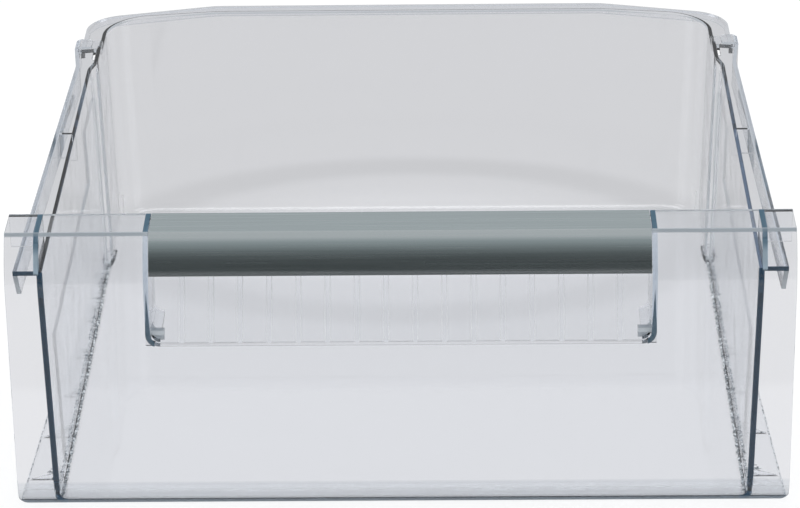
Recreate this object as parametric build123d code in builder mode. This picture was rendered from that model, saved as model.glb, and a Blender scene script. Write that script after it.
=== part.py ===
"""Clear plastic freezer drawer: an open bin, a hooded front panel and a metal grip strip.

Frame: millimetres, +Z up, the front faces -Y.  The origin is on the floor, midway
across the width and midway between the front face and the back rim.  Sizes called
setback, start, end or back are measured from the front face towards the back.
"""
from build123d import *
import os

# ---- driving sizes -------------------------------------------------------------
width = 440.0            # across the front panel
depth = 406.0            # front face to the outside of the back rim
height = 164.0           # floor to the top of the hood
wall = 2.5               # moulding thickness

front = -depth / 2
half_width = width / 2
over = 20.0              # cutters reach this far past what they cut

# front panel profile
face_roll = 14.0         # height of the rolled lower edge
face_tuck = 3.0          # how far that edge tucks back
face_edge = 1.0          # height of the plain edge under the roll
face_lean = 4.0          # the flat of the face leans back this much
knee_drop = 34.0         # the face starts to curve back this far below the top
crease_setback = 18.0    # the curve ends at a crease
hood_depth = 43.0        # back edge of the hood
crease_round = 3.5       # radius along the crease
corner_round = 5.0       # lower corners of the panel, seen from the front
wing_back = 1.6          # plate that closes the back of each wing over the flange
wing_gap = 0.3           # clearance between that plate and the bin
web_lap = 0.7            # the upright web in each wing stands this far onto the bin's wall
knee_height = height - knee_drop

# grip recess and metal strip
grip_half = 140.0        # half of the recess between its cheeks
cheek = 3.0              # cheek thickness
recess_deep = 61.5       # top of the hood to the lower edge of the recess
window_round = 5.0       # radius of its lower corners
scoop_gap = 6.0          # its sloping back stops this far ahead of the hood's back edge
rib_pitch = 16.35
rib_width = 3.0
rib_proud = 1.4
strip_thick = 2.0
strip_deep = 21.5        # top of the hood to the strip's lower edge
strip_lip = 3.0          # the strip's edges turn in by this much
strip_play = 0.3         # clearance round the strip
sill_height = height - recess_deep
scoop_top = hood_depth - scoop_gap
rib_count = int(2 * grip_half / rib_pitch) - 1
strip_drop = height - strip_deep

# bin
wall_inset = 18.2        # panel's side to the outside of the bin's wall, at the flange
wall_draft = 3.0         # each wall leans in this much at the floor
flange_drop = 20.0       # top of the hood to the top of the flange
step_in = 3.0            # the side walls step in near the back
step_long = 12.0
step_to_rim = 92.0       # end of the step to the back of the rim
step_round = 16.0
rim_overhang = 7.5       # the rim stands this far behind the back wall
bin_corner = 28.0        # outside radius of the back corners
foot_round = 6.0         # outside radius along the floor
wall_top_half = half_width - wall_inset
flange_height = height - flange_drop
foot_half = wall_top_half - wall_draft
step_end = depth - step_to_rim
bin_back = depth - rim_overhang

# side flanges that run on the cabinet's rails
flange_front_inset = 4.3
flange_back_inset = 10.5
flange_start = 10.5
flange_to_rim = 59.0     # back end of the flange to the back of the rim
lip_drop = 18.5
lip_slant = 10.0         # the lip's front end slopes back this much
tie_rib_setback = 200.0
slot_long = 18.0
slot_width = 1.8
lug_long = 13.0          # the lug ends this side of the flange's end by one edge gap
lug_edge_gap = 1.0
lug_inner_gap = 0.5      # outside of the wall to the lug
lug_overhang = 3.5       # the flange is this much wider at the lug than at its waist
lug_rise = 1.6
lug_round = 3.0
flare_long = 28.0        # the flange widens over this length, up to the lug
nub_gap = 3.4            # between the nub and the lug behind it
nub_edge = 1.5           # flange's back edge to the nub's inner side
nub_width = 2.2
nub_long = 3.6
nub_rise = 2.0
flange_front_half = half_width - flange_front_inset
flange_back_half = half_width - flange_back_inset
flange_end = depth - flange_to_rim
lug_end = flange_end - lug_edge_gap
lug_start = lug_end - lug_long
nub_end = lug_start - nub_gap
nub_half = flange_back_half - nub_edge
slot_half = wall_top_half - step_in
lug_half = flange_back_half + lug_overhang
waist = lug_start - flare_long

# back rim
rim_inset = 10.0
rim_slope = 83.0         # length of its falling part on each side
rim_fall = 5.0           # it falls this much towards the corners
rim_forward = 8.0        # and comes forward this much
rim_high = 6.0           # height of the rim's lip
rim_bow = 200.0          # radius where it starts to bow
rim_corner = 22.0
rim_long = 66.0          # how far the rim runs forward along the sides
rim_half = half_width - rim_inset
rim_flat_half = rim_half - rim_slope
rim_start = depth - rim_long

# thicker part of each side wall, outside: its upper edge is stepped and guides the drawer
guide_proud = 2.0
guide_below = 22.0       # top of the flange to the high part of its edge
guide_drop = 35.0        # high part to low part
guide_start = 46.0       # it starts behind the hood
guide_step_back = 156.0  # the step to the back of the rim
guide_end_back = 100.0
guide_high = flange_height - guide_below
guide_low = guide_high - guide_drop
guide_step = depth - guide_step_back
guide_end = depth - guide_end_back

# foot ledge outside each side wall
ledge_front_inset = 1.0
ledge_back_inset = 15.0
ledge_to_rim = 76.0
gusset_first = 26.0
gusset_pitch = 50.0
gusset_rise = 7.0
gusset_thick = 1.6
ledge_front_half = half_width - ledge_front_inset
ledge_back_half = half_width - ledge_back_inset
ledge_end = depth - ledge_to_rim
gusset_count = int((ledge_end - gusset_first) / gusset_pitch) + 1


def at(setback):
    """Y coordinate of a distance measured back from the front face."""
    return front + setback


def behind_face(drop=0.0):
    """The side view of everything behind the panel's outer surface, moved in by drop."""
    tuck = (at(face_tuck), face_edge)
    roll = (at(0.0), face_roll)
    knee = (at(face_lean), knee_height)
    crease = (at(crease_setback), height)
    far = at(depth + over)
    with BuildSketch(Plane.YZ) as region:
        with BuildLine():
            TangentArc(roll, tuck, tangent=(roll[0] - knee[0], roll[1] - knee[1]))
            Line(roll, knee)
            TangentArc(knee, crease, tangent=(knee[0] - roll[0], knee[1] - roll[1]))
            Polyline(crease, (far, height), (far, -over), (tuck[0], -over), tuck)
        make_face()
        fillet(region.vertices().filter_by(lambda v: abs(v.Z - height) < wall and v.Y < 0), crease_round)
        if drop > 0:
            offset(amount=-drop, mode=Mode.REPLACE)
    return region.sketch


def block(x_range, setback_range, z_range, rounding=0.0):
    """A box between two X coordinates, two setbacks and two heights, its upright edges rounded."""
    with BuildPart() as piece:
        with BuildSketch(Plane.XY.offset(z_range[0])) as foot:
            with Locations((sum(x_range) / 2, at(sum(setback_range) / 2))):
                Rectangle(abs(x_range[1] - x_range[0]), setback_range[1] - setback_range[0])
            if rounding > 0:
                fillet(foot.vertices(), radius=rounding)
        extrude(amount=z_range[1] - z_range[0])
    return piece.part


def slab(plane, points, thick):
    """A plate whose outline is the polygon through points on a plane, half its thickness each way."""
    with BuildPart() as piece:
        with BuildSketch(plane):
            with BuildLine():
                Polyline(*points, close=True)
            make_face()
        extrude(amount=thick / 2, both=True)
    return piece.part


def side_slab(points, middle_x, thick):
    """A plate across X, drawn in the side view through (setback, z) points."""
    return slab(Plane.YZ.offset(middle_x), [(at(setback), z) for setback, z in points], thick)


def plan_slab(points, top):
    """A plate one wall thick below top, drawn in the plan through (x, setback) points."""
    return slab(Plane.XY.offset(top - wall / 2), [(x, at(setback)) for x, setback in points], wall)


def front_slab(points, setback, thick):
    """A plate along Y, drawn in the front view through (x, z) points."""
    return slab(Plane.XZ.offset(-at(setback)), points, thick)


def mirrored_block(near, far, setback_range, z_range, rounding=0.0):
    """The same block on both sides, between two distances from the middle plane."""
    spans = [sorted((side * near, side * far)) for side in (-1, 1)]
    return [block(span, setback_range, z_range, rounding) for span in spans]


def opening(margin):
    """The recess seen from the front, widened by margin and cut right through the panel."""
    with BuildPart() as cutter:
        with BuildSketch(Plane.XZ) as outline:
            with Locations((0, (sill_height - margin + height + over) / 2)):
                Rectangle(2 * (grip_half + margin), height + over - sill_height + margin)
            fillet(outline.vertices().group_by(Axis.Y)[0], radius=window_round + margin)
        extrude(amount=depth, both=True)
    return cutter.part


def save(builder, name):
    """Label a finished piece and write its file."""
    builder.part.label = name
    export_step(builder.part, f"parts/{name}.step")


os.makedirs("parts", exist_ok=True)

# ---- front panel ---------------------------------------------------------------
ahead = (-over, hood_depth)
window = opening(0)
# side view of the recess: a slope from the sill to the underside of the strip's carrier,
# with ribs that stand proud of it and start flush with the face
seat = height - strip_thick - wall / 2
heel = sill_height - wall
rib_foot = face_lean * (sill_height - face_roll) / (knee_height - face_roll)
scoop_foot = rib_foot + rib_proud
scoop_points = (
    (scoop_foot, sill_height),
    (scoop_top, seat),
    (scoop_top + wall, seat),
    (scoop_foot + wall, heel),
    (rib_foot + wall / 2, heel),
    (rib_foot + wall / 2, sill_height),
)
rib_points = (
    (rib_foot, sill_height),
    (scoop_top - rib_proud, seat),
    (scoop_top + wall / 2, seat),
    (scoop_foot + wall / 2, sill_height),
)
with BuildPart() as cheek_pair:
    extrude(behind_face(), amount=width, both=True)
    add(block((-width, width), ahead, (0, height + over)), mode=Mode.INTERSECT)
    add(opening(cheek), mode=Mode.INTERSECT)
    add(window, mode=Mode.SUBTRACT)
    # between the lower corners the recess has a floor only at its front
    straight = grip_half - window_round
    add(block((-straight, straight), (scoop_foot + wall, depth), (0, height)), mode=Mode.SUBTRACT)

# between the cheeks the hood goes on one strip thickness lower, to carry the strip
strip_lap = strip_thick + strip_play
with BuildPart() as carrier:
    extrude(behind_face(strip_thick), amount=grip_half, both=True)
    extrude(behind_face(strip_thick + wall), amount=width, both=True, mode=Mode.SUBTRACT)
    add(
        block((-width, width), (-over, hood_depth - strip_lap), (strip_drop + strip_lap, height)),
        mode=Mode.INTERSECT,
    )

web_near = wall_top_half - web_lap
back_plate = (hood_depth - wing_back, hood_depth)
with BuildPart() as wing_inside:
    for piece in (
        *mirrored_block(web_near, web_near + wall, ahead, (flange_height, height)),
        *mirrored_block(web_near, half_width, back_plate, (flange_height + wing_gap, height)),
    ):
        add(piece)
    extrude(behind_face(), amount=width, both=True, mode=Mode.INTERSECT)

with BuildPart() as front_panel:
    # the folded face and hood, full width
    extrude(behind_face(), amount=half_width, both=True)
    extrude(behind_face(wall), amount=width, both=True, mode=Mode.SUBTRACT)
    with BuildSketch(Plane.XZ) as front_view:
        with Locations((0, (height + over) / 2)):
            Rectangle(width, height + over)
        fillet(front_view.vertices().group_by(Axis.Y)[0], radius=corner_round)
    extrude(amount=depth, both=True, mode=Mode.INTERSECT)
    add(block((-width, width), ahead, (-over, height + over)), mode=Mode.INTERSECT)
    # the recess is opened between the cheeks, then closed by the ribbed slope behind it
    add(window, mode=Mode.SUBTRACT)
    add(cheek_pair.part)
    add(carrier.part)
    add(side_slab(scoop_points, 0, 2 * (grip_half + cheek)))
    for index in range(rib_count):
        rib_x = (index - (rib_count - 1) / 2) * rib_pitch
        add(side_slab(rib_points, rib_x, rib_width))
    # an upright web in each wing stands on the bin's wall, and a plate closes the wing's back
    add(wing_inside.part)
save(front_panel, "front_panel")

# ---- handle strip --------------------------------------------------------------
strip_half = grip_half - strip_play
with BuildPart() as turned_edge:
    extrude(behind_face(), amount=strip_half, both=True)
    extrude(behind_face(strip_thick + strip_lip), amount=width, both=True, mode=Mode.SUBTRACT)
    add(
        block((-width, width), (-over, crease_setback), (strip_drop, strip_drop + strip_thick)),
        mode=Mode.INTERSECT,
    )

with BuildPart() as handle_strip:
    extrude(behind_face(), amount=strip_half, both=True)
    extrude(behind_face(strip_thick), amount=width, both=True, mode=Mode.SUBTRACT)
    add(block((-width, width), ahead, (strip_drop, height)), mode=Mode.INTERSECT)
    # the lower and back edges turn in and snap round the carrier
    add(turned_edge.part)
    back_edge = (hood_depth - strip_thick, hood_depth)
    add(block((-strip_half, strip_half), back_edge, (height - strip_lip, height)))
save(handle_strip, "handle_strip")

# ---- bin -----------------------------------------------------------------------


def bin_plan(level, inset):
    """The bin's outline at one height, moved in by inset.  It runs on ahead of the face."""
    lean = wall_draft * (1 - level / flange_height) + inset
    half = wall_top_half - lean
    back_line = at(bin_back - lean)
    with BuildSketch(Plane.XY.offset(level)) as plan:
        with BuildLine():
            Polyline(
                (half, at(-over)),
                (half, at(step_end - step_long)),
                (half - step_in, at(step_end)),
                (half - step_in, back_line),
                (step_in - half, back_line),
                (step_in - half, at(step_end)),
                (-half, at(step_end - step_long)),
                (-half, at(-over)),
                close=True,
            )
        make_face()
        fillet(plan.vertices().group_by(Axis.Y)[-1], radius=bin_corner - inset)
        for bend in (2, 1):
            fillet(plan.vertices().group_by(Axis.Y)[bend], radius=step_round)
    return plan.sketch


def tub(inset, bottom, rounding):
    """The space inside the drafted walls, standing on bottom, its lower edges rounded."""
    with BuildPart() as solid:
        loft([bin_plan(bottom, inset), bin_plan(height + over, inset)], ruled=True)
        fillet(solid.edges().group_by(Axis.Z)[0].sort_by(Axis.Y)[1:], radius=rounding)
    return solid.part


def rim_plan(inset):
    """Plan of the rim: straight sides, rounded corners and a back edge bowed forward at its ends."""
    half = rim_half - inset
    with BuildPart() as block_under:
        with BuildSketch() as plan:
            with BuildLine():
                Polyline(
                    (-half, at(rim_start)),
                    (-half, at(depth - rim_forward - inset)),
                    (-rim_flat_half, at(depth - inset)),
                    (rim_flat_half, at(depth - inset)),
                    (half, at(depth - rim_forward - inset)),
                    (half, at(rim_start)),
                    close=True,
                )
            make_face()
            fillet(plan.vertices().group_by(Axis.Y)[-1], radius=rim_bow)
            fillet(plan.vertices().group_by(Axis.Y)[1], radius=rim_corner - inset)
        extrude(amount=height)
    return block_under.part


def rim_band(deep):
    """Front view of the rim: level in the middle, falling to both corners, deep from top to bottom."""
    reach = rim_half + over
    fall = rim_fall * (reach - rim_flat_half) / (rim_half - rim_flat_half)
    upper = [
        (-reach, flange_height - fall),
        (-rim_flat_half, flange_height),
        (rim_flat_half, flange_height),
        (reach, flange_height - fall),
    ]
    lower = [(x, z - deep) for x, z in reversed(upper)]
    return front_slab(upper + lower, depth, 2 * (depth - rim_start))


with BuildPart() as rim_plate:
    add(rim_plan(0))
    add(rim_band(wall), mode=Mode.INTERSECT)

with BuildPart() as rim_lip:
    add(rim_plan(0))
    add(rim_plan(wall), mode=Mode.SUBTRACT)
    add(rim_band(rim_high), mode=Mode.INTERSECT)


core = foot_half - step_in - wall       # inside every wall: all outside ribs start from here
# the thicker part of the side walls, up to its stepped edge
guide_points = (
    (guide_start, 0),
    (guide_start, guide_low),
    (guide_step, guide_low),
    (guide_step, guide_high),
    (guide_end, guide_high),
    (guide_end, 0),
)
with BuildPart() as guide:
    add(tub(-guide_proud, 0, foot_round + guide_proud))
    add(side_slab(guide_points, 0, 2 * width), mode=Mode.INTERSECT)

with BuildPart() as bin_body:
    add(tub(0, 0, foot_round))
    # the walls stop at the flange, and the rim falls to the corners
    add(
        block((-width, width), (-over, depth + over), (flange_height, height + 2 * over)),
        mode=Mode.SUBTRACT,
    )
    add(guide.part)
    add(rim_band(-over), mode=Mode.SUBTRACT)
    add(rim_plate.part)
    add(rim_lip.part)
    for side in (-1, 1):
        outline = (
            (flange_front_half, flange_start),
            (flange_back_half, waist),
            (lug_half, lug_start),
            (lug_half, flange_end),
        )
        flange_edge = [(side * x, setback) for x, setback in outline]
        lip_edge = [(side * (x - wall), setback) for x, setback in reversed(outline)]
        add(plan_slab((*flange_edge, (side * core, flange_end), (side * core, flange_start)), flange_height))
        with BuildSketch(Plane.XY.offset(flange_height)):
            with BuildLine():
                Polyline(*[(x, at(setback)) for x, setback in (*flange_edge, *lip_edge)], close=True)
            make_face()
        extrude(amount=-lip_drop)
        # the lip's front end is cut on a slant
        lip_bottom = flange_height - lip_drop
        front_cut = (
            (flange_start - over, flange_height - wall),
            (flange_start, flange_height - wall),
            (flange_start + lip_slant, lip_bottom),
            (flange_start + lip_slant, lip_bottom - over),
            (flange_start - over, lip_bottom - over),
        )
        add(side_slab(front_cut, side * flange_front_half, 4 * wall), mode=Mode.SUBTRACT)
        ledge_edge = ((side * ledge_front_half, 0), (side * ledge_back_half, ledge_end))
        add(plan_slab((*ledge_edge, (side * core, ledge_end), (side * core, 0)), wall))
        for index in range(gusset_count):
            setback = gusset_first + index * gusset_pitch
            outer = ledge_front_half + (ledge_back_half - ledge_front_half) * setback / ledge_end
            gusset = (
                (side * core, 0),
                (side * (outer - gusset_thick), 0),
                (side * (outer - gusset_thick), wall),
                (side * core, wall + gusset_rise),
            )
            add(front_slab(gusset, setback, gusset_thick))
    for piece in (
        # a rib across the flange's channel, halfway back
        *mirrored_block(core, flange_back_half, (tie_rib_setback, tie_rib_setback + wall),
                        (flange_height - lip_drop, flange_height)),
        # the small stop on top of the flange
        *mirrored_block(nub_half, nub_half + nub_width, (nub_end - nub_long, nub_end),
                        (flange_height - wall, flange_height + nub_rise)),
        # the low rounded lug behind it
        *mirrored_block(wall_top_half + lug_inner_gap, lug_half - lug_edge_gap, (lug_start, lug_end),
                        (flange_height - wall, flange_height + lug_rise), lug_round),
    ):
        add(piece)
    slot_range = (lug_start - slot_long, lug_start)
    for piece in mirrored_block(slot_half, slot_half + slot_width, slot_range, (guide_high, height)):
        add(piece, mode=Mode.SUBTRACT)
    # everything inside the walls is open, and the panel closes the front
    add(tub(wall, wall, foot_round - wall), mode=Mode.SUBTRACT)
    extrude(behind_face(wall), amount=width, both=True, mode=Mode.INTERSECT)
save(bin_body, "bin")
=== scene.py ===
import math

import bpy
import numpy as np
from mathutils import Matrix, Vector


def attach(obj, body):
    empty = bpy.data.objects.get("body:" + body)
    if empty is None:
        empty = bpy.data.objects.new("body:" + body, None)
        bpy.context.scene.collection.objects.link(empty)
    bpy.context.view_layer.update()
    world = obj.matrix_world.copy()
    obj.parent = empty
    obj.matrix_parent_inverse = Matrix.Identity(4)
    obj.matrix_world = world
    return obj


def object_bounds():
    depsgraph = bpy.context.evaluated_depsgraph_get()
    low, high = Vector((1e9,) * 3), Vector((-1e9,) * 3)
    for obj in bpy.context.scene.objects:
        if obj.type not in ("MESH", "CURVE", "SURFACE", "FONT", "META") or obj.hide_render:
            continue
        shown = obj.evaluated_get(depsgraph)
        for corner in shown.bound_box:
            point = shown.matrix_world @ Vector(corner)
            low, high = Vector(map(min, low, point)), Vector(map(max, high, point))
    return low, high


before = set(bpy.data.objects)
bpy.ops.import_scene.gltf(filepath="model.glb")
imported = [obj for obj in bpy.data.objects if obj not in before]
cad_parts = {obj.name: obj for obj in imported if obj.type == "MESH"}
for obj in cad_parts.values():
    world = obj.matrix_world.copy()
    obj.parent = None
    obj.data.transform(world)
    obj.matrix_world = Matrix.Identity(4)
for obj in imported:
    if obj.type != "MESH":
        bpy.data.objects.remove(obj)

cad_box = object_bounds()
scene = bpy.context.scene
scene.view_settings.view_transform = "Standard"


# ---- camera --------------------------------------------------------------------------
# A long lens two metres off, a little right of the middle, looks 26 degrees down.
# Light paths are long, because a view through the drawer crosses many faces of clear plastic.
def camera_matrix(place, pitch, yaw, roll):
    """Camera axes from three angles: right and up are turned by yaw, tilted by pitch, then rolled."""
    right = np.array([math.cos(yaw), math.sin(yaw), 0.0])
    ahead = np.array([-math.sin(yaw), math.cos(yaw), 0.0])
    up = math.sin(pitch) * ahead + math.cos(pitch) * np.array([0.0, 0.0, 1.0])
    view = math.cos(pitch) * ahead - math.sin(pitch) * np.array([0.0, 0.0, 1.0])
    x_axis = math.cos(roll) * right - math.sin(roll) * up
    y_axis = math.sin(roll) * right + math.cos(roll) * up
    rows = np.column_stack((x_axis, y_axis, -view, place))
    return Matrix([*rows.tolist(), [0.0, 0.0, 0.0, 1.0]])


camera_place = (0.03112, -1.86432, 0.96887)
camera_pitch, camera_yaw, camera_roll = math.radians(26.0), 0.01853, 0.01487
camera = bpy.data.objects.new("camera", bpy.data.cameras.new("camera"))
camera.data.lens = 151.04
camera.data.sensor_width = 36.0
camera.data.sensor_fit = "HORIZONTAL"
camera.data.clip_end = 50.0
camera.matrix_world = camera_matrix(camera_place, camera_pitch, camera_yaw, camera_roll)
scene.collection.objects.link(camera)
scene.camera = camera

path_length = 40
scene.cycles.max_bounces = path_length
scene.cycles.transmission_bounces = path_length
scene.cycles.transparent_max_bounces = path_length


# ---- floor, lamps and surroundings ---------------------------------------------------
# A white paper sweep with painted shade, greyer where it is seen through the drawer, one wide lamp above
# and one on each side, and a tall graded card behind the camera for the metal to mirror.
def colour(code):
    """A hex sRGB colour as linear RGBA."""
    parts = np.array([int(code[i:i + 2], 16) for i in (0, 2, 4)]) / 255.0
    linear = np.where(parts <= 0.04045, parts / 12.92, ((parts + 0.055) / 1.055) ** 2.4)
    return (*linear.tolist(), 1.0)


def node(tree, kind, sockets=(), **settings):
    """Adds one node.  Sockets take a link or a plain value; settings are properties or named sockets."""
    made = tree.nodes.new("ShaderNode" + kind)
    for key, value in settings.items():
        if hasattr(made, key):
            setattr(made, key, value)
        else:
            made.inputs[key.replace("_", " ")].default_value = value
    for target, source in dict(sockets).items():
        if isinstance(source, bpy.types.NodeSocket):
            tree.links.new(source, made.inputs[target])
        else:
            made.inputs[target].default_value = source
    return made


def new_material(name):
    """An empty node material and its tree."""
    material = bpy.data.materials.new(name)
    material.use_nodes = True
    material.node_tree.nodes.clear()
    return material, material.node_tree


def object_axes(tree):
    """Object coordinates: the whole vector, then x, y and z."""
    whole = node(tree, "TexCoord").outputs["Object"]
    return whole, *node(tree, "SeparateXYZ", {0: whole}).outputs


def product(tree, *factors):
    """The product of several values."""
    total = factors[0]
    for factor in factors[1:]:
        total = node(tree, "Math", {0: total, 1: factor}, operation="MULTIPLY").outputs[0]
    return total


def band(tree, value, middle, half, blur):
    """1 where a value lies within half of middle, falling to 0 over blur on both sides."""
    offset = node(tree, "Math", {0: value, 1: middle}, operation="SUBTRACT")
    away = node(tree, "Math", {0: offset.outputs[0]}, operation="ABSOLUTE")
    return node(tree, "MapRange", {0: away.outputs[0], 1: half + blur, 2: half, 3: 0.0, 4: 1.0},
                interpolation_type="SMOOTHSTEP").outputs[0]


def distance(tree, first, second, point):
    """How far two coordinates lie from a point in their plane."""
    spot = node(tree, "CombineXYZ", {0: first, 1: second})
    gap = node(tree, "VectorMath", {0: spot.outputs[0], 1: (*point, 0.0)}, operation="DISTANCE")
    return gap.outputs["Value"]


floor_material, tree = new_material("white_paper_sweep")
_, x, y, _ = object_axes(tree)
path = node(tree, "LightPath").outputs
# painted light and shade on what is seen through the plastic: paler in front, greyer behind, a soft grey arch of
# painted shade, and a painted pool of light inside it
front_painted_light = node(tree, "MapRange", {0: y, 1: -0.07, 2: -0.052, 3: 0.045, 4: 0.0}, interpolation_type="SMOOTHSTEP")
back_painted_shade = node(tree, "MapRange", {0: y, 1: 0.04, 2: 0.26, 3: 0.8, 4: 0.67}, interpolation_type="SMOOTHSTEP")
shade_arch_middle, shade_arch_squeeze, shade_arch_radius = (0.0, 0.145), 0.62, 0.118
from_middle = distance(tree, product(tree, x, shade_arch_squeeze), y, shade_arch_middle)
painted_shade_arch = product(tree, band(tree, from_middle, shade_arch_radius, 0.004, 0.018), -0.07)
painted_light_pool = product(tree, band(tree, from_middle, 0.0, 0.05, 0.06), 0.06)
tone = front_painted_light.outputs[0]
for more in (back_painted_shade.outputs[0], painted_shade_arch, painted_light_pool):
    tone = node(tree, "Math", {0: tone, 1: more}, operation="ADD").outputs[0]
through_plastic = node(tree, "Emission", {1: tone}, Color=colour("fcfcfe"))
# straight from the camera the paper is mostly plain white, and still holds the shadow
white_share, toned_share = 0.75, 0.95
lit = node(tree, "BsdfDiffuse", Color=colour("ffffff"))
white = node(tree, "Emission", Color=colour("ffffff"), Strength=1.0)
straight = node(tree, "MixShader", {0: product(tree, path["Is Camera Ray"], white_share), 1: lit.outputs[0],
                                    2: white.outputs[0]})
bent = node(tree, "Math", {0: path["Is Transmission Ray"], 1: path["Is Glossy Ray"]}, operation="MAXIMUM")
paper = node(tree, "MixShader", {0: product(tree, bent.outputs[0], toned_share), 1: straight.outputs[0],
                                 2: through_plastic.outputs[0]})
node(tree, "OutputMaterial", {"Surface": paper.outputs[0]})

# it lies a hair below the part, so that light leaves the plastic before it meets the paper
floor_level, floor_reach = -0.0004, 8.0
corners = ((-1, -1), (1, -1), (1, 1), (-1, 1))
floor = bpy.data.objects.new("floor", bpy.data.meshes.new("floor"))
floor.data.from_pydata([(i * floor_reach, j * floor_reach, floor_level) for i, j in corners], [], [(0, 1, 2, 3)])
floor.data.materials.append(floor_material)
scene.collection.objects.link(floor)

world = bpy.data.worlds.new("studio")
scene.world = world
world.use_nodes = True
world.node_tree.nodes.clear()
tree = world.node_tree
seen = node(tree, "LightPath").outputs["Is Camera Ray"]
sky = node(tree, "Background", Color=colour("f4f7fa"), Strength=0.62)
white = node(tree, "Background", Color=colour("ffffff"), Strength=1.0)
shown = node(tree, "MixShader", {0: seen, 1: sky.outputs[0], 2: white.outputs[0]})
node(tree, "OutputWorld", {"Surface": shown.outputs[0]})


def lamp(name, place, target, size, power):
    """A soft rectangular lamp aimed at a point."""
    light = bpy.data.lights.new(name, "AREA")
    light.shape = "RECTANGLE"
    light.size, light.size_y = size
    light.energy = power
    made = bpy.data.objects.new(name, light)
    aim = (Vector(target) - Vector(place)).to_track_quat("-Z", "Y").to_matrix().to_4x4()
    made.matrix_world = Matrix.Translation(place) @ aim
    scene.collection.objects.link(made)


lamp("softbox_above", (0.0, 0.5, 2.2), (0.0, 0.0, 0.0), (2.4, 1.6), 30.0)
lamp("softbox_left", (-2.0, -0.8, 1.2), (0.0, 0.0, 0.1), (1.2, 1.6), 8.0)
lamp("softbox_right", (2.0, -0.8, 1.2), (0.0, 0.0, 0.1), (1.2, 1.6), 8.0)

# the card is dark at its foot, and only metal and gloss mirror it
card_behind, card_half, card_height = -2.5, 2.5, 2.9
card_material, tree = new_material("grey_graded_card")
*_, z = object_axes(tree)
tone = node(tree, "MapRange", {0: z, 1: 1.2, 2: 3.4, 3: 0.088, 4: 0.73}, interpolation_type="SMOOTHSTEP")
grey = node(tree, "Emission", {1: tone.outputs[0]}, Color=colour("f3fbfe"))
node(tree, "OutputMaterial", {"Surface": grey.outputs[0]})
corners = ((-1, 0), (1, 0), (1, 1), (-1, 1))
card = bpy.data.objects.new("card", bpy.data.meshes.new("card"))
card.data.from_pydata([(i * card_half, card_behind, j * card_height) for i, j in corners], [], [(3, 2, 1, 0)])
card.data.materials.append(card_material)
scene.collection.objects.link(card)
card.visible_camera = False
card.visible_diffuse = False
card.visible_shadow = False
card.visible_transmission = False


# ---- bin -----------------------------------------------------------------------------
# One injection-moulded tub of clear polystyrene, with its flanges, foot ledges and rim.
# Refraction gives most of its dark edges, and painted shade and painted highlights stand for light trapped in the
# walls.
def clear_plastic(name):
    """Clear polystyrene with flow marks some 20 mm wide.  Returns material, tree, axes and shader."""
    material, tree = new_material(name)
    whole, x, y, z = object_axes(tree)
    aside = node(tree, "Math", {0: x}, operation="ABSOLUTE").outputs[0]
    flow = node(tree, "TexNoise", {0: whole}, Scale=45.0, Detail=2.0)
    wave = node(tree, "Bump", {"Height": flow.outputs[0]}, Strength=0.06, Distance=0.0006)
    haze = node(tree, "MapRange", {0: flow.outputs[0], 1: 0.3, 2: 0.7, 3: 0.02, 4: 0.05})
    solid = node(tree, "BsdfPrincipled", {"Roughness": haze.outputs[0], "Normal": wave.outputs[0],
                                          "Transmission Weight": 1.0}, Base_Color=colour("fdfdfe"), IOR=1.5)
    return material, tree, (x, aside, y, z), solid.outputs[0]


def finish_clear(tree, shader):
    """Lets shadow rays through and fills the solid with a faint blue-grey tint."""
    shadow = node(tree, "LightPath").outputs["Is Shadow Ray"]
    through = node(tree, "BsdfTransparent", Color=colour("f4f6f8"))
    surface = node(tree, "MixShader", {0: shadow, 1: shader, 2: through.outputs[0]})
    tint = node(tree, "VolumeAbsorption", Color=colour("5a95bc"), Density=13.0)
    node(tree, "OutputMaterial", {"Surface": surface.outputs[0], "Volume": tint.outputs[0]})


def zone(tree, *limits):
    """1 in a soft-edged box: each limit is a value with its middle, half width and blur."""
    return product(tree, *(band(tree, *limit) for limit in limits))


def leaning(tree, value, other, slope):
    """A value plus slope times another one: it is even all over a leaning plane."""
    return node(tree, "Math", {0: other, 1: slope, 2: value}, operation="MULTIPLY_ADD").outputs[0]


def paint_light_and_shade(tree, shader, mask, code, strength):
    """Lays a plain tone over a shader where a mask is 1: a painted highlight where the tone is pale, painted shade
    where it is dark.
    """
    tone = node(tree, "BsdfDiffuse", Color=colour(code))
    mixed = node(tree, "MixShader", {0: product(tree, mask, strength), 1: shader, 2: tone.outputs[0]})
    return mixed.outputs[0]


# places are counted back from the front face, up from the foot and aside from the middle
front = cad_box[0][1]
# how fast most tones end
sharp, soft = 0.0002, 0.0003
bin_material, tree, (x, aside, y, z), shader = clear_plastic("clear_polystyrene_bin")
# the side walls step in near the back over two soft bends, and their thick lower part ends there; painted
# highlight lines mark all three
guide_aside, guide_end, guide_step = 0.2022, front + 0.306, front + 0.25
for setback in (0.302, 0.314):
    bend_highlight = zone(tree, (y, front + setback, 0.002, 0.001), (aside, 0.1945, 0.0047, soft), (z, 0.072, 0.062, 0.006))
    shader = paint_light_and_shade(tree, shader, bend_highlight, "e6e9ec", 0.6)
closing_highlight = zone(tree, (y, guide_end, 0.0006, sharp), (aside, 0.2005, 0.0035, soft), (z, 0.061, 0.0605, 0.0004))
shader = paint_light_and_shade(tree, shader, closing_highlight, "dfe3e6", 0.7)
# painted shade on the step in the thick part's upper edge, and on the low edge ahead of it
step_shade = zone(tree, (y, guide_step, 0.0008, soft), (z, 0.1045, 0.0185, 0.0004), (aside, 0.2025, 0.0022, soft))
shader = paint_light_and_shade(tree, shader, step_shade, "4c6676", 0.9)
low_edge_shade = zone(tree, (z, 0.087, 0.0007, soft), (y, front + 0.229, 0.022, 0.002),
                (aside, guide_aside, 0.0022, soft))
shader = paint_light_and_shade(tree, shader, low_edge_shade, "5b7686", 0.85)
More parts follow.
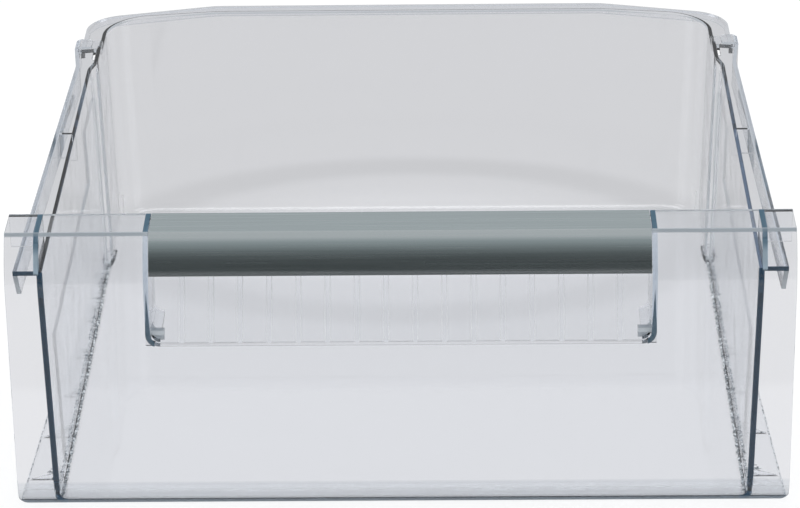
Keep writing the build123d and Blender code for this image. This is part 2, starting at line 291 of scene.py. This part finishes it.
# painted shade darkens the flange's front end, and a painted highlight makes the slanted end of its lip pale
flange_end_shade = zone(tree, (y, front + 0.0105, 0.0005, sharp), (z, 0.14275, 0.0014, sharp),
                  (aside, 0.2094, 0.0064, sharp))
shader = paint_light_and_shade(tree, shader, flange_end_shade, "44596a", 0.9)
lip_slope, lip_plane = 0.625, -0.10406
lip_end_highlight = zone(tree, (leaning(tree, y, z, lip_slope), lip_plane, 0.0006, sharp),
               (aside, 0.2145, 0.0018, sharp), (z, 0.133, 0.0082, soft))
shader = paint_light_and_shade(tree, shader, lip_end_highlight, "d3d9dd", 0.75)
# a painted highlight: the rounded back corners catch a lamp in one short upright streak
corner_middle, corner_radius, streak_angle = (0.1678, 0.1646), 0.0255, 0.36
across = node(tree, "Math", {0: aside, 1: corner_middle[0]}, operation="SUBTRACT")
deep = node(tree, "Math", {0: y, 1: corner_middle[1]}, operation="SUBTRACT")
turn = node(tree, "Math", {0: deep.outputs[0], 1: across.outputs[0]}, operation="ARCTAN2")
corner_highlight_streak = zone(tree, (turn.outputs[0], streak_angle, 0.03, 0.02),
              (distance(tree, aside, y, corner_middle), corner_radius, 0.0009, sharp),
              (z, 0.0115, 0.0075, 0.002))
shader = paint_light_and_shade(tree, shader, corner_highlight_streak, "ffffff", 0.75)
finish_clear(tree, shader)


# ---- foot beads ----------------------------------------------------------------------
# The corner between the bin's floor and each side wall is spark-roughened, as are the feet
# of the gussets outside it.  They read as speckled lines through the clear wall.
def bead(points, radius, seed):
    """Rings of eight points along a path: each ring's radius and centre waver by seeded noise."""
    rng = np.random.default_rng(seed)
    path = np.asarray(points, float)
    size = radius * rng.uniform(0.45, 1.5, len(path))
    path = path + rng.normal(0.0, radius * 0.35, path.shape)
    angle = np.linspace(0.0, 2.0 * math.pi, 8, endpoint=False)
    ahead = path[-1] - path[0]
    ahead = ahead / np.linalg.norm(ahead)
    side = np.cross(ahead, (0.0, 0.0, 1.0))
    side = side / np.linalg.norm(side)
    up = np.cross(side, ahead)
    ring = np.cos(angle)[:, None] * side + np.sin(angle)[:, None] * up
    return path[:, None, :] + size[:, None, None] * ring[None, :, :]


def tube_mesh(name, tubes):
    """One mesh of closed tubes: quads between neighbouring rings and a cap at each end."""
    points, faces = [], []
    for rings in tubes:
        base = len(points)
        count, around = rings.shape[:2]
        points.extend(rings.reshape(-1, 3).tolist())
        for i in range(count - 1):
            for j in range(around):
                a, b = base + i * around + j, base + i * around + (j + 1) % around
                faces.append((a, b, b + around, a + around))
        faces.append(tuple(base + j for j in reversed(range(around))))
        faces.append(tuple(base + (count - 1) * around + j for j in range(around)))
    made = bpy.data.objects.new(name, bpy.data.meshes.new(name))
    made.data.from_pydata(points, [], faces)
    made.data.update()
    scene.collection.objects.link(made)
    return made


def ledge_edge(setback):
    """How far aside the foot ledge's outer edge lies: it runs in by 14 mm over 330 mm."""
    return 0.2182 - 0.014 * setback / 0.33


# real spark grain is about a tenth of a millimetre: it is drawn 1.6 mm wide, so that it shows,
# and thinned out in patches of 3 mm
speck_material, tree = new_material("spark_roughened_polystyrene")
whole = node(tree, "TexCoord").outputs["Object"]
grain = node(tree, "TexNoise", {0: whole}, Scale=620.0, Detail=2.0)
shade = node(tree, "ValToRGB", {0: grain.outputs[0]})
for stop, place, code in zip(shade.color_ramp.elements, (0.44, 0.56), ("4a575f", "f6f9fb")):
    stop.position = place
    stop.color = colour(code)
patchy = node(tree, "TexNoise", {0: whole}, Scale=330.0, Detail=1.0)
cover = node(tree, "MapRange", {0: patchy.outputs[0], 1: 0.4, 2: 0.56, 3: 0.25, 4: 0.95},
             interpolation_type="SMOOTHSTEP")
rough = node(tree, "BsdfPrincipled", {"Base Color": shade.outputs[0]}, Roughness=0.45)
clear_gap = node(tree, "BsdfTransparent", Color=colour("ffffff"))
specks = node(tree, "MixShader", {0: cover.outputs[0], 1: clear_gap.outputs[0], 2: rough.outputs[0]})
node(tree, "OutputMaterial", {"Surface": specks.outputs[0]})

corner_aside, corner_height, ledge_top = 0.1948, 0.0042, 0.0031
corner_points, ledge_points = 260, 220
gusset_count, first_gusset, gusset_pitch, strokes = 6, 0.026, 0.05, 9
for side, word in ((-1, "left"), (1, "right")):
    setbacks = np.linspace(0.006, 0.318, corner_points)
    line = np.column_stack((np.full(corner_points, side * corner_aside), front + setbacks,
                            np.full(corner_points, corner_height)))
    tubes = [bead(line, 0.0007, 11 + side)]
    setbacks = np.linspace(0.004, 0.32, ledge_points)
    line = np.column_stack((side * ledge_edge(setbacks), front + setbacks, np.full(ledge_points, ledge_top)))
    tubes.append(bead(line, 0.00028, 31 + side))
    for index in range(gusset_count):
        setback = first_gusset + gusset_pitch * index
        rng = np.random.default_rng(70 + index)
        for stroke in range(strokes):
            start = np.array([side * rng.uniform(0.1996, 0.2005), front + setback + rng.uniform(-0.002, 0.003),
                              rng.uniform(0.0045, 0.0105)])
            end = start + np.array([side * rng.uniform(0.002, 0.0065), rng.uniform(-0.0015, 0.0015),
                                    rng.uniform(-0.0025, 0.002)])
            tubes.append(bead(np.linspace(start, end, 9), 0.00042, 100 + 10 * index + stroke))
        start = np.array([side * 0.2035, front + setback, ledge_top])
        end = np.array([side * (ledge_edge(setback) - 0.002), front + setback, ledge_top])
        tubes.append(bead(np.linspace(start, end, 24), 0.0003, 170 + index))
    foot = tube_mesh("foot_bead_" + word, tubes)
    foot.data.materials.append(speck_material)
    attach(foot, "root")

# ---- front panel ---------------------------------------------------------------------
# The folded face and hood, moulded in the same clear polystyrene, with the ribbed recess.
# Its crease is rounded inside and gets a painted grey shade line, and the ribs' edges get painted highlights.
top = cad_box[1][2]
panel_material, tree, (x, aside, y, z), shader = clear_plastic("clear_polystyrene_panel")
# painted shade: a grey line along the rounded crease
crease_shade = zone(tree, (y, front + 0.0178, 0.0009, 0.0004), (z, top - 0.0008, 0.0009, 0.0004))
shader = paint_light_and_shade(tree, shader, crease_shade, "a1a8ae", 0.9)
# painted shade: beside the opening's rounded lower corners the cheeks go dark, like the walls' edges
opening_corner, cheek_radius = (0.135, 0.1075), 0.0065
outward = node(tree, "Math", {0: aside, 1: opening_corner[0]}, operation="MAXIMUM")
downward = node(tree, "Math", {0: z, 1: opening_corner[1]}, operation="MINIMUM")
from_corner = distance(tree, outward.outputs[0], downward.outputs[0], opening_corner)
from_cheek = node(tree, "Math", {0: from_corner, 1: cheek_radius}, operation="SUBTRACT")
from_cheek = node(tree, "Math", {0: from_cheek.outputs[0]}, operation="ABSOLUTE")
taper = node(tree, "MapRange", {0: z, 1: 0.109, 2: 0.134, 3: 0.0014, 4: 0.0})
inside = node(tree, "Math", {0: from_cheek.outputs[0], 1: taper.outputs[0]}, operation="LESS_THAN")
# a painted highlight: the bottom of the opening, seen past its corner, is pale
pale_highlight = zone(tree, (aside, 0.1365, 0.0038, 0.0004), (z, 0.105, 0.0028, 0.0004), (y, front + 0.013, 0.0065, 0.0005))
shader = paint_light_and_shade(tree, shader, pale_highlight, "ccd1d5", 0.85)
cheek_shade_wedge = zone(tree, (aside, 0.1407, 0.0026, 0.0004), (y, front + 0.003, 0.0035, 0.0005))
shader = paint_light_and_shade(tree, shader, product(tree, inside.outputs[0], cheek_shade_wedge), "435764", 0.9)
# painted shade: where the front edge of each bin wall meets the panel, light trapped in the wall leaves it navy
face_slope, wall_slope = -0.0345, -0.02083
behind_face = leaning(tree, y, z, face_slope)
wall_edge = (leaning(tree, aside, z, wall_slope), 0.1975, 0.0016, sharp)
upright_edge_shade = zone(tree, (behind_face, -0.20098, 0.0006, soft), wall_edge, (z, 0.0715, 0.0655, soft))
shader = paint_light_and_shade(tree, shader, upright_edge_shade, "405a70", 0.92)
upper_end_shade = zone(tree, (behind_face, -0.1995, 0.0016, sharp), wall_edge, (z, 0.1403, 0.0037, soft))
shader = paint_light_and_shade(tree, shader, upper_end_shade, "405a70", 0.85)
foot_middle, foot_radius = (0.1928, 0.006), 0.00475
foot_bend_shade = zone(tree, (distance(tree, aside, z, foot_middle), foot_radius, 0.00135, sharp),
                 (z, 0.002, 0.004, 0.0001), (aside, 0.197, 0.0045, 0.0006), (y, front + 0.003, 0.0022, soft))
shader = paint_light_and_shade(tree, shader, foot_bend_shade, "405a70", 0.92)
# painted shade: on the hood the webs and the cheeks show as navy bars
web_aside, cheek_aside = 0.2024, 0.1416
navy_bar_shade = node(tree, "Math", {0: band(tree, aside, web_aside, 0.0014, sharp),
                           1: band(tree, aside, cheek_aside, 0.0013, sharp)}, operation="ADD").outputs[0]
navy_bar_shade = product(tree, navy_bar_shade, zone(tree, (y, front + 0.0308, 0.0117, 0.0004), (z, top - 0.0003, 0.0009, sharp)))
shader = paint_light_and_shade(tree, shader, navy_bar_shade, "4f6878", 0.85)
# in front each web gets a painted highlight above the flange and painted shade towards the crease
web_face = (aside, 0.20235, 0.0013, sharp)
web_highlight = zone(tree, web_face, (z, 0.1525, 0.0075, 0.002), (y, front + 0.008, 0.006, 0.0005))
shader = paint_light_and_shade(tree, shader, web_highlight, "a3b4c0", 0.75)
web_top_shade = zone(tree, web_face, (z, 0.16, 0.0015, 0.006), (y, front + 0.009, 0.009, 0.0005))
shader = paint_light_and_shade(tree, shader, web_top_shade, "4f6878", 0.85)
# a painted highlight: a pale line along the hood's back edge
hood_end_highlight = zone(tree, (y, front + 0.043, 0.0004, sharp), (z, top - 0.001, 0.0016, soft))
shader = paint_light_and_shade(tree, shader, hood_end_highlight, "bcc2c7", 0.6)
# painted shade: the rolled lower edge of the face is greyer, and darkest at the floor
rolled_edge_shade = product(tree, band(tree, z, 0.004, 0.0095, 0.001), 0.35)
grey = node(tree, "BsdfTransparent", Color=colour("e6e9ec"))
shader = node(tree, "MixShader", {0: rolled_edge_shade, 1: shader, 2: grey.outputs[0]}).outputs[0]
shader = paint_light_and_shade(tree, shader, band(tree, z, 0.0, 0.0016, 0.0012), "8f979e", 0.55)
# two painted highlight lines on each rib, where its edges are rounded
rib_pitch, rib_edge, recess_slope = 0.01635, 0.0014, -0.5588
turns = node(tree, "Math", {0: x, 1: rib_pitch}, operation="DIVIDE")
part = node(tree, "Math", {0: turns.outputs[0], 1: 1.0}, operation="FLOORED_MODULO")
part = node(tree, "Math", {0: part.outputs[0], 1: 0.5}, operation="SUBTRACT")
from_rib = node(tree, "Math", {0: product(tree, part.outputs[0], rib_pitch)}, operation="ABSOLUTE")
rib_highlights = zone(tree, (from_rib.outputs[0], rib_edge, 0.00018, 0.00025),
                 (leaning(tree, y, z, recess_slope), -0.2565, 0.0012, soft),
                 (x, 0.0, 0.1255, sharp), (z, 0.1235, 0.02, 0.002))
shader = paint_light_and_shade(tree, shader, rib_highlights, "f7fafc", 0.3)
finish_clear(tree, shader)

# ---- handle strip --------------------------------------------------------------------
# Extruded aluminium, brushed along its length and satin anodised, snapped over the carrier.
# A painted highlight runs along its bend, and another on its rolled lower edge stands for a little light caught
# there.
strip_material, tree = new_material("satin_anodised_aluminium")
whole, _, y, z = object_axes(tree)
# a brush mark is under a millimetre wide and some 100 mm long
drawn = node(tree, "Mapping", {0: whole, 3: (9.0, 1400.0, 1400.0)})
brush = node(tree, "TexNoise", {0: drawn.outputs[0]}, Scale=1.0, Detail=3.0)
gloss = node(tree, "MapRange", {0: brush.outputs[0], 1: 0.3, 2: 0.7, 3: 0.23, 4: 0.28})
shade = node(tree, "ValToRGB", {0: brush.outputs[0]})
for stop, place, code in zip(shade.color_ramp.elements, (0.3, 0.7), ("b7c1c2", "bdc7c8")):
    stop.position = place
    stop.color = colour(code)
# painted highlights: a pale line along the rolled lower edge and a white line along the bend
lower_edge_highlight = band(tree, z, 0.1425, 0.0012, 0.0022)
tint = node(tree, "MixRGB", {0: lower_edge_highlight, 1: shade.outputs[0], 2: colour("f2f8fa")})
bend_highlight = product(tree, band(tree, y, front + 0.0168, 0.0008, 0.002), 0.3)
tint = node(tree, "MixRGB", {0: bend_highlight, 1: tint.outputs[0], 2: colour("ffffff")})
metal = node(tree, "BsdfPrincipled", {"Base Color": tint.outputs[0], "Roughness": gloss.outputs[0]}, Metallic=1.0)
node(tree, "OutputMaterial", {"Surface": metal.outputs[0]})

for name, material in (("bin", bin_material), ("front_panel", panel_material), ("handle_strip", strip_material)):
    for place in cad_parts[name].material_slots:
        place.material = material
